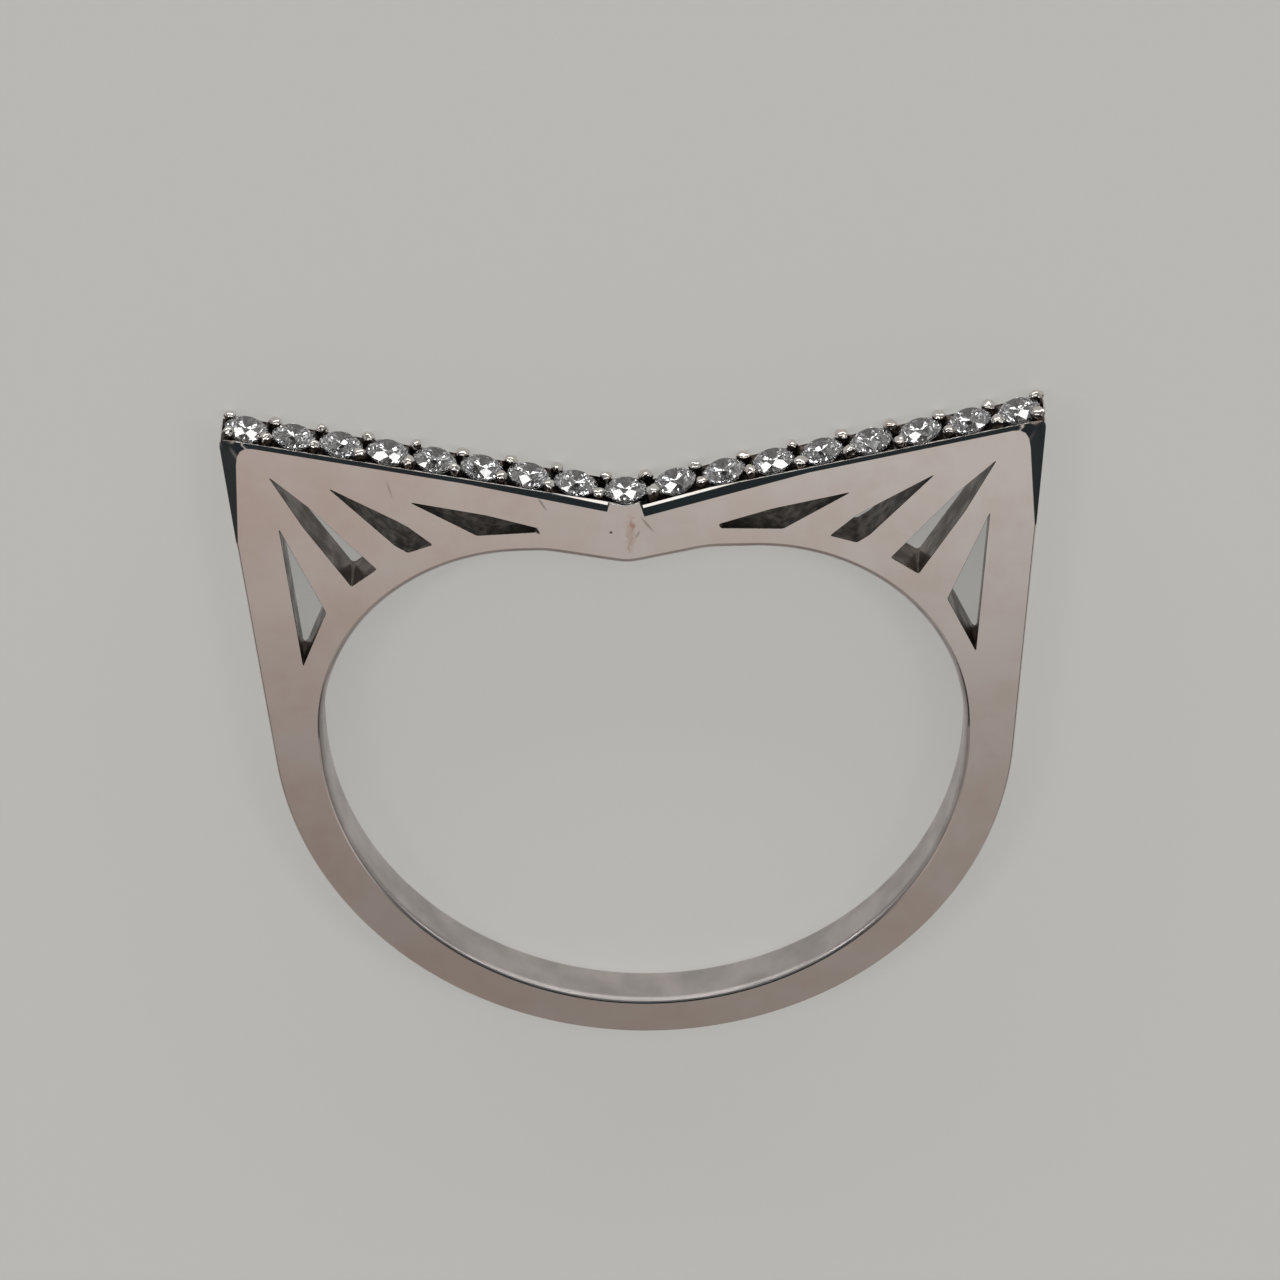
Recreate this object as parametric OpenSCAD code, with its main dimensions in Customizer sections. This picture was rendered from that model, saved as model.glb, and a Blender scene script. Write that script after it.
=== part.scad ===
// A narrow ring with a V-shaped top, pierced shoulders and one row of round brilliant-cut stones.
// It lies on its side: Z runs along the finger, Y points from the finger to the stones, and X across.
// The origin is the middle of the finger hole, on the side face that the ring rests on.

/* [Finger hole] */
// Inside width of the finger hole
hole_w = 17.6; // [17.4:0.1:17.8]
// Radius of the two upper corners of the finger hole
hole_corner_r = 5.65; // [5.4:0.05:5.9]
// Height of the corners' centres above the widest line of the hole
hole_corner_y = 0.3; // [0.2:0.05:0.4]
// Height of the point that hangs from the top of the hole
hole_tip_y = 5.5; // [5.4:0.05:5.7]
// Half width of that point where it meets the top of the hole
hole_tip_half_w = 2.2; // [1.8:0.1:2.6]

/* [Shank] */
// Width of the band along the finger
band_w = 1.4; // [1.35:0.05:1.6]
// Outside radius of the round part of the shank
shank_r = 10.2; // [10.1:0.05:10.3]
// Rise of the shank's centre above the hole's, which thins the shank at the bottom
shank_rise = 0.3; // [0.2:0.05:0.4]

/* [Head] */
// Angle at which the straight outer sides lean away from the finger
shoulder_lean = 5.4; // [5.2:0.1:5.6]
// Height of the outer corners
corner_y = 9.75; // [9.6:0.05:9.9]
// Sideways place of the bottom of the V
apex_x = -0.25; // [-0.3:0.05:0.3]
// Height of the bottom of the V
apex_y = 7.36; // [7.3:0.02:7.5]

/* [Stones] */
// Diameter of a stone
stone_d = 1.2; // [1.1:0.02:1.2]
// Stones on each arm of the V, besides the one in the middle
arm_stones = 8; // [8:1:8]
// Distance across from the bottom of the V to the first stone of an arm
first_stone_x = 1.35; // [1.3:0.05:1.4]
// Distance across from the last stone to the outer corner
last_stone_x = 0.73; // [0.7:0.01:0.8]
// Height of the girdles above the head's top edge
girdle_lift = 0.05; // [0.04:0.01:0.08]
// Height of the middle stone's girdle
middle_girdle_y = 7.46; // [7.44:0.01:7.5]
// Clearance between a stone and its seat
seat_gap = 0.02; // [0.01:0.005:0.03]
// Turn of each stone's facets against the stone before it
stone_turn = 17; // [0:1:45]

/* [Beads] */
// Diameter of a bead
bead_d = 0.3; // [0.26:0.01:0.32]
// Height of a bead's middle above the head's top edge
bead_lift = 0.11; // [0.08:0.01:0.14]
// Distance of a bead's middle from the middle of the band
bead_side = 0.5; // [0.48:0.01:0.52]
// Shift of the front beads outwards, and of the back beads inwards, from the middle of a gap
bead_stagger = 0.1; // [0:0.02:0.16]
// Depth of the cut channel between the two rails, where beads and stones sit
channel_depth = 0.1; // [0.06:0.01:0.12]
// Width of the rail on each side of the channel
rail_w = 0.08; // [0.06:0.01:0.1]

/* [Edges] */
// Width of the bevel along the head's top edges, seen from above
bevel_top = 0.04; // [0.02:0.01:0.06]
// Height of that bevel on the side faces
bevel_face = 0.09; // [0.05:0.01:0.12]
// Height of the broad facet beside the middle stone
facet_h = 0.34; // [0.3:0.02:0.4]
// Distance across from the bottom of the V to where the broad facet stops
facet_near_x = 0.5; // [0.45:0.05:0.6]
// Distance across from the bottom of the V to where the broad facet runs out
facet_far_x = 4.3; // [4:0.1:4.6]
// Width of the sloping facet at the outer corners
corner_facet_w = 0.45; // [0.3:0.05:0.5]
// Depth of that facet along the finger at the outer corners
corner_facet_d = 0.12; // [0.08:0.01:0.16]
// Height at which the corner facet runs out
corner_facet_y = 5.4; // [5:0.1:6]

/* [Hidden] */
$fn = 96;
arms = [-1, 1];
mid_z = band_w / 2;
hole_top_y = hole_corner_y + hole_corner_r;

// Overlap that makes two faces cross instead of just meeting
hair = 0.003;
// Room that a cutter runs on past a face, and how deep a facet's cutter reaches
spare = 1;
facet_reach = 2;

// The outer sides leave the round shank along its tangents, set in by a hair so that they cross it
tangent_y = shank_rise - shank_r * sin(shoulder_lean);
tangent_x = shank_r * cos(shoulder_lean) - hair;
corner_x = tangent_x + (corner_y - tangent_y) * tan(shoulder_lean);

// Pierced slots of the right shoulder, one row a slot, as [x, y] corners from the tip
// round over the upper side to the inner end and back along the lower side
slots = [
    [[9.61, 6.87], [8.46, 4.19], [9.19, 2.5]],
    [[9.79, 8.51], [8.75, 7.53], [6.98, 5.54], [7.70, 5.01], [8.95, 6.95]],
    [[8.15, 8.11], [6.12, 6.92], [5.39, 6.28], [6.08, 6.05], [6.42, 6.28]],
    [[5.92, 7.62], [3.85, 7.16], [2.45, 6.72], [2.50, 6.60], [4.14, 6.54]],
];

// Proportions of a brilliant cut, as parts of its diameter
table_part = 0.57;
crown_part = 0.16;
pavilion_part = 0.43;
girdle_part = 0.03;
star_part = 0.52;
lower_part = 0.24;
cut_folds = 8;

girdle_r = stone_d / 2;
girdle_h = girdle_part * stone_d;
table_r = table_part * girdle_r;
crown_h = crown_part * stone_d;
pavilion_h = pavilion_part * stone_d;
fold_angle = 360 / cut_folds;
half_fold = fold_angle / 2;

// Radius and height of the points where the star facets end, on the planes of the kites
star_r = table_r * cos(half_fold) + star_part * (girdle_r - table_r * cos(half_fold));
star_z = crown_h - (star_r * cos(half_fold) - table_r) * crown_h / (girdle_r - table_r);
// The same for the points where the lower girdle facets end, on the pavilion's main facets
lower_r = lower_part * girdle_r;
lower_z = -pavilion_h * (1 - lower_r * cos(half_fold) / girdle_r);

bead_r = bead_d / 2;
// Stem under a bead, which roots it in the floor of the channel
stem_r = 0.87 * bead_r;
stem_h = 0.4;
// Metal left between the last bead of an arm and the outer corner
corner_margin = 0.03;
seat_floor_r = 0.06;

// How far a point moves sideways because the bottom of the V isn't in the middle
function shifted(x) = x + apex_x * (1 - abs(x) / corner_x);
// Run of an arm across, its slope, and the height of its top edge at a place across
function arm_run(arm) = corner_x - arm * apex_x;
function arm_slope(arm) = atan((corner_y - apex_y) / arm_run(arm));
function arm_top(arm, run) = apex_y + run * tan(arm_slope(arm));
// Spacing of an arm's stones, and a stone's distance from the bottom of the V
function arm_pitch(arm) = (arm_run(arm) - first_stone_x - last_stone_x) / (arm_stones - 1);
function stone_run(arm, k) = first_stone_x + k * arm_pitch(arm);
// Number of a stone counted from the left end of the row, where the middle one is arm 0
function stone_number(arm, k) = arm_stones + 1 + arm * (k + 1);

// Finger hole: a half circle below, two smaller corners above, and the point that hangs between them
module hole_shape() {
    hole_r = hole_w / 2;
    corner_centre_x = hole_r - hole_corner_r;
    difference() {
        union() {
            intersection() {
                circle(r = hole_r);
                translate([-hole_w, -hole_w]) square([2 * hole_w, hole_w]);
            }
            translate([-hole_r, 0]) square([hole_w, hole_corner_y]);
            for (arm = arms) intersection() {
                translate([arm * corner_centre_x, hole_corner_y]) circle(r = hole_corner_r);
                translate([-hole_w, hole_corner_y]) square([2 * hole_w, hole_w]);
            }
            translate([-corner_centre_x, hole_corner_y]) square([2 * corner_centre_x, hole_corner_r]);
        }
        polygon([
            [apex_x, hole_tip_y],
            [apex_x + hole_tip_half_w, hole_top_y + hair],
            [apex_x, hole_top_y + spare],
            [apex_x - hole_tip_half_w, hole_top_y + hair],
        ]);
    }
}

// Side view of the metal, with the hole and the slots cut through
module band_shape() {
    difference() {
        union() {
            intersection() {
                translate([0, shank_rise]) circle(r = shank_r);
                translate([-hole_w, -hole_w]) square([2 * hole_w, hole_w + spare]);
            }
            polygon([
                [-corner_x, corner_y],
                [apex_x, apex_y],
                [corner_x, corner_y],
                [tangent_x, tangent_y],
                [-tangent_x, tangent_y],
            ]);
        }
        hole_shape();
        for (arm = arms, slot = slots)
            polygon([for (p = slot) [shifted(arm * p[0]), p[1]]]);
    }
}

// Puts its children on an arm's top edge, with Y straight out of it and X along it towards the corner
module on_arm(arm, run, lift = 0) {
    slope = arm_slope(arm);
    translate([apex_x + arm * run, arm_top(arm, run), mid_z])
        rotate([0, 0, arm * slope])
            translate([0, lift, 0])
                children();
}

// Turns a piece that is made along Z so that it points out of the head
module upright() {
    rotate([-90, 0, 0]) children();
}

// Cutter for the channel between the rails of one arm
module channel_cut(arm) {
    length = arm_run(arm) + 2 * spare;
    channel_w = band_w - 2 * rail_w;
    on_arm(arm, arm_run(arm) / 2)
        translate([-length / 2, -channel_depth, -channel_w / 2])
            cube([length, spare, channel_w]);
}

// Cutter for the bevel along one top edge; side is 1 for the upper face and -1 for the one it rests on
module bevel_cut(arm, side) {
    length = arm_run(arm) + 2 * spare;
    // The cutter's corners lie this many bevels away from the bevel's own two edges
    reach = 4;
    on_arm(arm, arm_run(arm) / 2)
        translate([-length / 2, 0, 0])
            rotate([90, 0, 90])
                linear_extrude(height = length)
                    polygon([
                        [-bevel_face * (1 + reach), side * (mid_z + reach * bevel_top)],
                        [reach * bevel_face, side * (mid_z + reach * bevel_top)],
                        [reach * bevel_face, side * (mid_z - (1 + reach) * bevel_top)],
                    ]);
}

// Cutter for the broad facet beside the middle stone, steeper than the arm itself
module broad_facet_cut(arm, side) {
    near_y = arm_top(arm, facet_near_x) - facet_h;
    far_y = arm_top(arm, facet_far_x) - bevel_face;
    run = facet_far_x - facet_near_x;
    slope = atan((far_y - near_y) / run);
    lean = atan(bevel_top / facet_h);
    translate([apex_x + arm * facet_near_x, near_y, mid_z])
        rotate([0, 0, arm * slope])
            mirror([arm < 0 ? 1 : 0, 0, 0])
                rotate([90, 0, 90])
                    linear_extrude(height = run / cos(slope) + spare)
                        polygon([
                            [0, side * mid_z],
                            [0, side * (mid_z + spare)],
                            [facet_reach, side * (mid_z + spare)],
                            [facet_reach, side * (mid_z - facet_reach * tan(lean))],
                        ]);
}

// Cutter for the sloping facet at an outer corner, which narrows down the shoulder
module corner_facet_cut(arm, side) {
    rise = corner_y - corner_facet_y;
    edge_x = corner_x - rise * tan(shoulder_lean);
    turn = atan((corner_x - corner_facet_w - edge_x) / rise);
    lean = atan(corner_facet_d / corner_facet_w);
    translate([arm * edge_x, corner_facet_y, mid_z])
        rotate([0, 0, -arm * turn])
            mirror([arm < 0 ? 1 : 0, 0, 0])
                rotate([-90, 0, 0])
                    translate([0, 0, -spare])
                        linear_extrude(height = rise + 3 * spare)
                            polygon([
                                [0, -side * mid_z],
                                [0, -side * (mid_z + spare)],
                                [facet_reach, -side * (mid_z + spare)],
                                [facet_reach, -side * (mid_z - facet_reach * tan(lean))],
                            ]);
}

// A bead with its stem, standing on the floor of the channel
module bead() {
    sphere(r = bead_r);
    translate([0, 0, -stem_h]) cylinder(h = stem_h, r = stem_r);
}

// The pair of beads in one gap
module bead_pair(arm, run) {
    for (side = [-1, 1])
        on_arm(arm, run + side * bead_stagger, bead_lift)
            translate([0, 0, side * bead_side])
                upright() bead();
}

module beads() {
    for (arm = arms) {
        bead_pair(arm, first_stone_x / 2);
        for (k = [0 : arm_stones - 2]) bead_pair(arm, stone_run(arm, k) + arm_pitch(arm) / 2);
        for (side = [-1, 1])
            on_arm(arm, arm_run(arm) - bead_r - corner_margin, bead_lift)
                translate([0, 0, side * bead_side])
                    upright() bead();
    }
}

// Places its children at a stone's girdle, pointing out of the head
module at_stone(arm, k) {
    if (arm == 0)
        translate([apex_x, middle_girdle_y, mid_z]) upright() children();
    else
        on_arm(arm, stone_run(arm, k), girdle_lift) upright() children();
}

// Room for one stone: a cone for the pavilion, a short wall for the girdle and a cone for the crown
module stone_room() {
    room_r = girdle_r + seat_gap;
    room_h = girdle_h + 2 * seat_gap;
    floor_z = -girdle_h / 2 - pavilion_h - seat_gap;
    translate([0, 0, floor_z])
        cylinder(h = -room_h / 2 - floor_z, r1 = seat_floor_r, r2 = room_r);
    translate([0, 0, -room_h / 2]) cylinder(h = room_h, r = room_r);
    translate([0, 0, room_h / 2]) cylinder(h = crown_h, r1 = room_r, r2 = table_r + 2 * seat_gap);
}

module ring_band() {
    color([0.80, 0.76, 0.73])
        difference() {
            union() {
                difference() {
                    linear_extrude(height = band_w) band_shape();
                    for (arm = arms) {
                        channel_cut(arm);
                        for (side = [-1, 1]) {
                            bevel_cut(arm, side);
                            broad_facet_cut(arm, side);
                            corner_facet_cut(arm, side);
                        }
                    }
                }
                beads();
            }
            at_stone(0, 0) stone_room();
            for (arm = arms, k = [0 : arm_stones - 1]) at_stone(arm, k) stone_room();
        }
}

// A point of the cut at a radius, a height and a number of half folds round
function cut_point(r, z, i) = [r * cos(i * half_fold), r * sin(i * half_fold), z];

// Round brilliant cut with its table up: eight kites and stars above, eight mains below
module brilliant() {
    top = girdle_h / 2;
    n = cut_folds;
    m = 2 * n;
    star = n;
    upper = star + n;
    under = upper + m;
    lower = under + m;
    culet = lower + n;
    points = concat(
        [for (i = [0 : n - 1]) cut_point(table_r, top + crown_h, 2 * i)],
        [for (i = [0 : n - 1]) cut_point(star_r, top + star_z, 2 * i + 1)],
        [for (i = [0 : m - 1]) cut_point(girdle_r, top, i)],
        [for (i = [0 : m - 1]) cut_point(girdle_r, -top, i)],
        [for (i = [0 : n - 1]) cut_point(lower_r, -top + lower_z, 2 * i + 1)],
        [[0, 0, -top - pavilion_h]]
    );
    faces = concat(
        [[for (i = [0 : n - 1]) n - 1 - i]],
        [for (i = [0 : n - 1]) [i, (i + 1) % n, star + i]],
        [for (i = [0 : n - 1]) [i, star + i, upper + 2 * i, star + (i + n - 1) % n]],
        [for (i = [0 : n - 1]) [star + i, upper + 2 * i + 1, upper + 2 * i]],
        [for (i = [0 : n - 1]) [star + i, upper + (2 * i + 2) % m, upper + 2 * i + 1]],
        [for (i = [0 : m - 1]) [upper + i, upper + (i + 1) % m, under + (i + 1) % m, under + i]],
        [for (i = [0 : n - 1]) [under + 2 * i, under + 2 * i + 1, lower + i]],
        [for (i = [0 : n - 1]) [under + 2 * i + 1, under + (2 * i + 2) % m, lower + i]],
        [for (i = [0 : n - 1]) [under + 2 * i, lower + i, culet, lower + (i + n - 1) % n]]
    );
    polyhedron(points = points, faces = faces, convexity = 2);
}

module stone(arm, k) {
    color([0.93, 0.95, 0.97])
        at_stone(arm, k)
            rotate([0, 0, stone_turn * stone_number(arm, k)])
                brilliant();
}

ring_band();
stone(-1, 7);  // stone_01
stone(-1, 6);  // stone_02
stone(-1, 5);  // stone_03
stone(-1, 4);  // stone_04
stone(-1, 3);  // stone_05
stone(-1, 2);  // stone_06
stone(-1, 1);  // stone_07
stone(-1, 0);  // stone_08
stone(0, 0);  // stone_09
stone(1, 0);  // stone_10
stone(1, 1);  // stone_11
stone(1, 2);  // stone_12
stone(1, 3);  // stone_13
stone(1, 4);  // stone_14
stone(1, 5);  // stone_15
stone(1, 6);  // stone_16
stone(1, 7);  // stone_17
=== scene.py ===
"""Looks of a narrow white-gold ring with a V-shaped top, pierced shoulders and a row of bead-set stones.

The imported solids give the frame. The band is modelled here to a jeweller's finish, with rounded edges,
turned seats and raised beads, and it stands for its solid. The stones keep their own cut solids.
"""

import logging
import math
import random
from collections.abc import Callable
from dataclasses import dataclass, field, replace
from enum import Enum

import bmesh
import bpy
from mathutils import Matrix, Vector, noise
from mathutils.kdtree import KDTree


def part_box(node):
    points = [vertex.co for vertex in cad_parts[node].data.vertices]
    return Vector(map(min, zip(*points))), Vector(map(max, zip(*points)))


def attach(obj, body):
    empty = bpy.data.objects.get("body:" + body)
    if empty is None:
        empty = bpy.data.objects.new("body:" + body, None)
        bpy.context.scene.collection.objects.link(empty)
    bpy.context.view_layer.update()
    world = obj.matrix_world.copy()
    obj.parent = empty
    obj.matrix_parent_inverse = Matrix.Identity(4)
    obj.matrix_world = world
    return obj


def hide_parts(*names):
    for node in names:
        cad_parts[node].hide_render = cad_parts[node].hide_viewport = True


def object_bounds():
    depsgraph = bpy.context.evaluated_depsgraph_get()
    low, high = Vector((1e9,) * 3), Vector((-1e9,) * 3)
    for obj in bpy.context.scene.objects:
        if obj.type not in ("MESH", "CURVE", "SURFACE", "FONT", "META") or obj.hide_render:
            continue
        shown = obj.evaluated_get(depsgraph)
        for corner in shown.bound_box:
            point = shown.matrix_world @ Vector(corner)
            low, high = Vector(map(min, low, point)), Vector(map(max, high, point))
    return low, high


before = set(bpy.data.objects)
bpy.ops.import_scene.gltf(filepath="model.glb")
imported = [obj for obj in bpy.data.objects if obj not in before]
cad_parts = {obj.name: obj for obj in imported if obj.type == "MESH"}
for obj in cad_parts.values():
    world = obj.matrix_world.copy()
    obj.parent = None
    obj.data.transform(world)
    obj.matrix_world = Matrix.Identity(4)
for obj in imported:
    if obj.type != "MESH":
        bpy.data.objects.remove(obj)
CAD_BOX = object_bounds()

LOG = logging.getLogger("ring")
MM = 0.001
BODY = "root"

# Stands a flat outline up across an arm: its x, its y and its thickness run along the arm's Y, Z and X
ALONG_ARM = Matrix(((0, 0, 1, 0), (1, 0, 0, 0), (0, 1, 0, 0), (0, 0, 0, 1)))

# Most of one side of an outline that the curve of a rounded corner takes up
CORNER_PART = 0.45

# Least cosine at a corner of an outline that is moved out, which keeps a sharp corner from shooting far out
LEAST_COSINE = 0.5

# Ends of a card's window that stay open, because each part of a direction lies between -1 and 1
OPEN_BELOW = (-2.0, -1.9)
OPEN_ABOVE = (1.9, 2.0)

Point = tuple[float, float]
Spot = tuple[float, float, float]
Colour = tuple[float, float, float]
Window = tuple[float, float, float, float]
Piece = bpy.types.Object
Material = bpy.types.Material
Tree = bpy.types.NodeTree
Socket = bpy.types.NodeSocket


class Arm(Enum):
    """The two arms of the V, as the sign of their way across."""

    LEFT = -1
    RIGHT = 1


class Side(Enum):
    """The two side faces of the band, as the sign of their way along the finger."""

    RESTING = -1
    UPPER = 1


class Join(Enum):
    """Ways to combine two solids, by the names that the Boolean modifier gives them."""

    SOLDER = "UNION"
    CUT = "DIFFERENCE"


class Gather(Enum):
    """Ways to bring values together, by the names that a Math node gives them."""

    LARGEST = "MAXIMUM"
    PRODUCT = "MULTIPLY"


class Parts(Enum):
    """The parts of a mesh that can be picked out, by the names that the mesh gives them."""

    CORNERS = "vertices"
    FACES = "polygons"


def clear_selection() -> None:
    """Deselects every object."""
    bpy.ops.object.select_all(action="DESELECT")


def take_up(obj: Piece) -> None:
    """Selects one object alone and makes it active.

    Args:
        obj: The object that the next operators work on.
    """
    clear_selection()
    obj.select_set(True)
    bpy.context.view_layer.objects.active = obj


def edit_all(obj: Piece) -> None:
    """Opens a mesh in edit mode with all of it selected.

    Args:
        obj: The mesh object.
    """
    take_up(obj)
    bpy.ops.object.mode_set(mode="EDIT")
    bpy.ops.mesh.select_all(action="SELECT")


def edit_some(obj: Piece, parts: Parts, chosen: Callable[..., bool]) -> None:
    """Opens a mesh in edit mode with only some of its corners or faces selected.

    Args:
        obj: The mesh object, which is the active one.
        parts: The parts that are looked at.
        chosen: The test that a part passes if it is selected.
    """
    bpy.ops.object.mode_set(mode="EDIT")
    bpy.ops.mesh.select_all(action="DESELECT")
    bpy.ops.object.mode_set(mode="OBJECT")
    for part in getattr(obj.data, parts.value):
        part.select = chosen(part)
    bpy.ops.object.mode_set(mode="EDIT")


def face_outwards(obj: Piece) -> None:
    """Turns all faces of a closed mesh outwards.

    Args:
        obj: The mesh object.
    """
    edit_all(obj)
    bpy.ops.mesh.normals_make_consistent(inside=False)
    bpy.ops.object.mode_set(mode="OBJECT")


def loft(name: str, rings: list[list[Vector]]) -> Piece:
    """Makes a closed solid by extruding a filled circle primitive from ring to ring.

    Args:
        name: Name of the new object.
        rings: Corners of each ring, as many and in the same order in all of them.

    Returns:
        The solid, with its faces outwards.
    """
    clear_selection()
    bpy.ops.mesh.primitive_circle_add(vertices=len(rings[0]), radius=1.0, fill_type="NGON")
    obj = bpy.context.object
    obj.name = name
    for corner, spot in zip(obj.data.vertices, rings[0]):
        corner.co = spot
    edit_all(obj)
    for before, after in zip(rings, rings[1:]):
        bpy.ops.mesh.extrude_region_move()
        bpy.ops.object.mode_set(mode="OBJECT")
        places = KDTree(len(before))
        for index, spot in enumerate(before):
            places.insert(spot, index)
        places.balance()
        for corner in obj.data.vertices:
            if corner.select:
                corner.co = after[places.find(corner.co)[1]]
        bpy.ops.object.mode_set(mode="EDIT")
    bpy.ops.object.mode_set(mode="OBJECT")
    face_outwards(obj)
    return obj


def prism(name: str, outline: list[Point], height: float, place: Matrix) -> Piece:
    """Makes a prism on a flat outline.

    Args:
        name: Name of the new object.
        outline: Corners of the outline, in order.
        height: Thickness of the prism, from its own zero upwards.
        place: Where the prism goes.

    Returns:
        The prism, closed and with its faces outwards.
    """
    return loft(name, [[place @ Vector((x, y, z)) for x, y in outline] for z in (0.0, height)])


def copies(pattern: Piece, places: list[Matrix]) -> Piece:
    """Copies a pattern to several places and joins the copies.

    Args:
        pattern: The object to copy, which is removed afterwards.
        places: One matrix for each copy.

    Returns:
        One object that holds all the copies.
    """
    made = []
    for place in places:
        twin = pattern.copy()
        twin.data = pattern.data.copy()
        twin.data.transform(place)
        bpy.context.collection.objects.link(twin)
        made.append(twin)
    bpy.data.objects.remove(pattern)
    clear_selection()
    for twin in made:
        twin.select_set(True)
    bpy.context.view_layer.objects.active = made[0]
    bpy.ops.object.join()
    return bpy.context.object


def combine(body: Piece, tool: Piece, how: Join) -> None:
    """Solders a tool to a body or cuts it out, and removes the tool.

    Args:
        body: The object that is kept.
        tool: The object that is used up.
        how: What is done with the tool.
    """
    take_up(body)
    modifier = body.modifiers.new(how.name.lower(), "BOOLEAN")
    modifier.operation = how.value
    modifier.solver = "EXACT"
    modifier.material_mode = "TRANSFER"
    modifier.object = tool
    bpy.ops.object.modifier_apply(modifier=modifier.name)
    bpy.data.objects.remove(tool)


def arc(centre: Point, radius: float, start: float, end: float, step: float = 1.5) -> list[Point]:
    """Points along a circle's arc, both ends included.

    Args:
        centre: Centre of the circle.
        radius: Its radius.
        start: Angle of the first point, in degrees.
        end: Angle of the last point, in degrees.
        step: Largest angle between two points, in degrees.

    Returns:
        The points in order.
    """
    count = max(1, math.ceil(abs(end - start) / step))
    angles = [math.radians(start + (end - start) * i / count) for i in range(count + 1)]
    return [(centre[0] + radius * math.cos(a), centre[1] + radius * math.sin(a)) for a in angles]


def rounded(outline: list[Point], reach: float, steps: int = 4) -> list[Point]:
    """Rounds the corners of an outline with curves that leave each side a set distance before its corner.

    Args:
        outline: Corners in order.
        reach: Distance from a corner to where its curve begins, less on a side that is too short for two.
        steps: Pieces in each curve.

    Returns:
        The rounded outline.
    """
    points = []
    for before, corner, after in zip(outline[-1:] + outline[:-1], outline, outline[1:] + outline[:1]):
        here = Vector(corner)
        back, on = Vector(before) - here, Vector(after) - here
        start = here + back.normalized() * min(reach, CORNER_PART * back.length)
        end = here + on.normalized() * min(reach, CORNER_PART * on.length)
        for i in range(steps + 1):
            t = i / steps
            spot = start * (1 - t) ** 2 + here * 2 * t * (1 - t) + end * t**2
            points.append((spot.x, spot.y))
    return points


def grown(outline: list[Point], by: float) -> list[Point]:
    """Moves an outline outwards.

    Args:
        outline: Corners in order, either way round.
        by: How far each side moves out.

    Returns:
        The new outline, with as many corners.
    """
    corners = [Vector(corner) for corner in outline]
    pairs = list(zip(corners, corners[1:] + corners[:1]))
    way = math.copysign(by, sum(a.x * b.y - a.y * b.x for a, b in pairs))
    normals = [Vector((b.y - a.y, a.x - b.x)).normalized() for a, b in pairs]
    moved = []
    for corner, before, after in zip(corners, normals[-1:] + normals[:-1], normals):
        middle = (before + after).normalized()
        spot = corner + middle * way / max(middle.dot(after), LEAST_COSINE)
        moved.append((spot.x, spot.y))
    return moved


def srgb(code: str) -> tuple[float, float, float, float]:
    """Turns an sRGB hex code into a linear colour.

    Args:
        code: The colour, such as "#c0b8b0".

    Returns:
        Red, green, blue and alpha, linear, with alpha 1.
    """
    parts = [int(code[i : i + 2], 16) / 255 for i in (1, 3, 5)]
    return (*[c / 12.92 if c <= 0.04045 else ((c + 0.055) / 1.055) ** 2.4 for c in parts], 1.0)


def add_node(tree: Tree, kind: str, settings: dict | None = None,
             links: dict | None = None) -> bpy.types.Node:
    """Adds a node with its settings and links.

    Args:
        tree: The node tree.
        kind: The node's type.
        settings: Properties by name, and values of inputs by name or number.
        links: Output sockets by the name or number of the input that they feed.

    Returns:
        The new node.
    """
    node = tree.nodes.new(kind)
    for key, value in (settings or {}).items():
        if isinstance(key, str) and key not in node.inputs:
            setattr(node, key, value)
        else:
            node.inputs[key].default_value = value
    for key, socket in (links or {}).items():
        tree.links.new(socket, node.inputs[key])
    return node


def gathered(tree: Tree, how: Gather, values: list[Socket]) -> Socket:
    """Brings several values together, one after another.

    Args:
        tree: The node tree.
        how: What is made of them.
        values: The values.

    Returns:
        The one value that comes of them.
    """
    total = values[0]
    for value in values[1:]:
        total = add_node(tree, "ShaderNodeMath", {"operation": how.value}, {0: total, 1: value}).outputs[0]
    return total


def mottled(tree: Tree, place: Socket, cloud_mm: float, edge: Point, tones: tuple[str, str],
            roughness: Point) -> dict[str, Socket]:
    """Colour and roughness that change together in soft clouds.

    Args:
        tree: The node tree.
        place: The Object coordinates.
        cloud_mm: Size of a cloud.
        edge: Values of the noise at which a cloud begins and is full.
        tones: Hex codes of the colours outside and inside the clouds.
        roughness: Roughness outside and inside the clouds.

    Returns:
        What feeds the shader's colour and roughness, by the names of its inputs.
    """
    clouds = add_node(tree, "ShaderNodeTexNoise", {"Scale": 1 / (cloud_mm * MM), "Detail": 4.0},
                      {"Vector": place})
    share = add_node(tree, "ShaderNodeMapRange", {1: edge[0], 2: edge[1]}, {0: clouds.outputs["Fac"]})
    colour = add_node(tree, "ShaderNodeMix", {"data_type": "RGBA", 6: srgb(tones[0]), 7: srgb(tones[1])},
                      {0: share.outputs[0]})
    rough = add_node(tree, "ShaderNodeMapRange", {3: roughness[0], 4: roughness[1]}, {0: share.outputs[0]})
    return {"Base Color": colour.outputs[2], "Roughness": rough.outputs[0]}


def close_tree(tree: Tree, settings: dict, links: dict | None = None) -> None:
    """Ends a material's node tree with its shader and its output.

    Args:
        tree: The node tree.
        settings: Values of the shader's own inputs.
        links: What feeds its other inputs.
    """
    shader = add_node(tree, "ShaderNodeBsdfPrincipled", settings, links)
    add_node(tree, "ShaderNodeOutputMaterial", links={"Surface": shader.outputs[0]})


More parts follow.
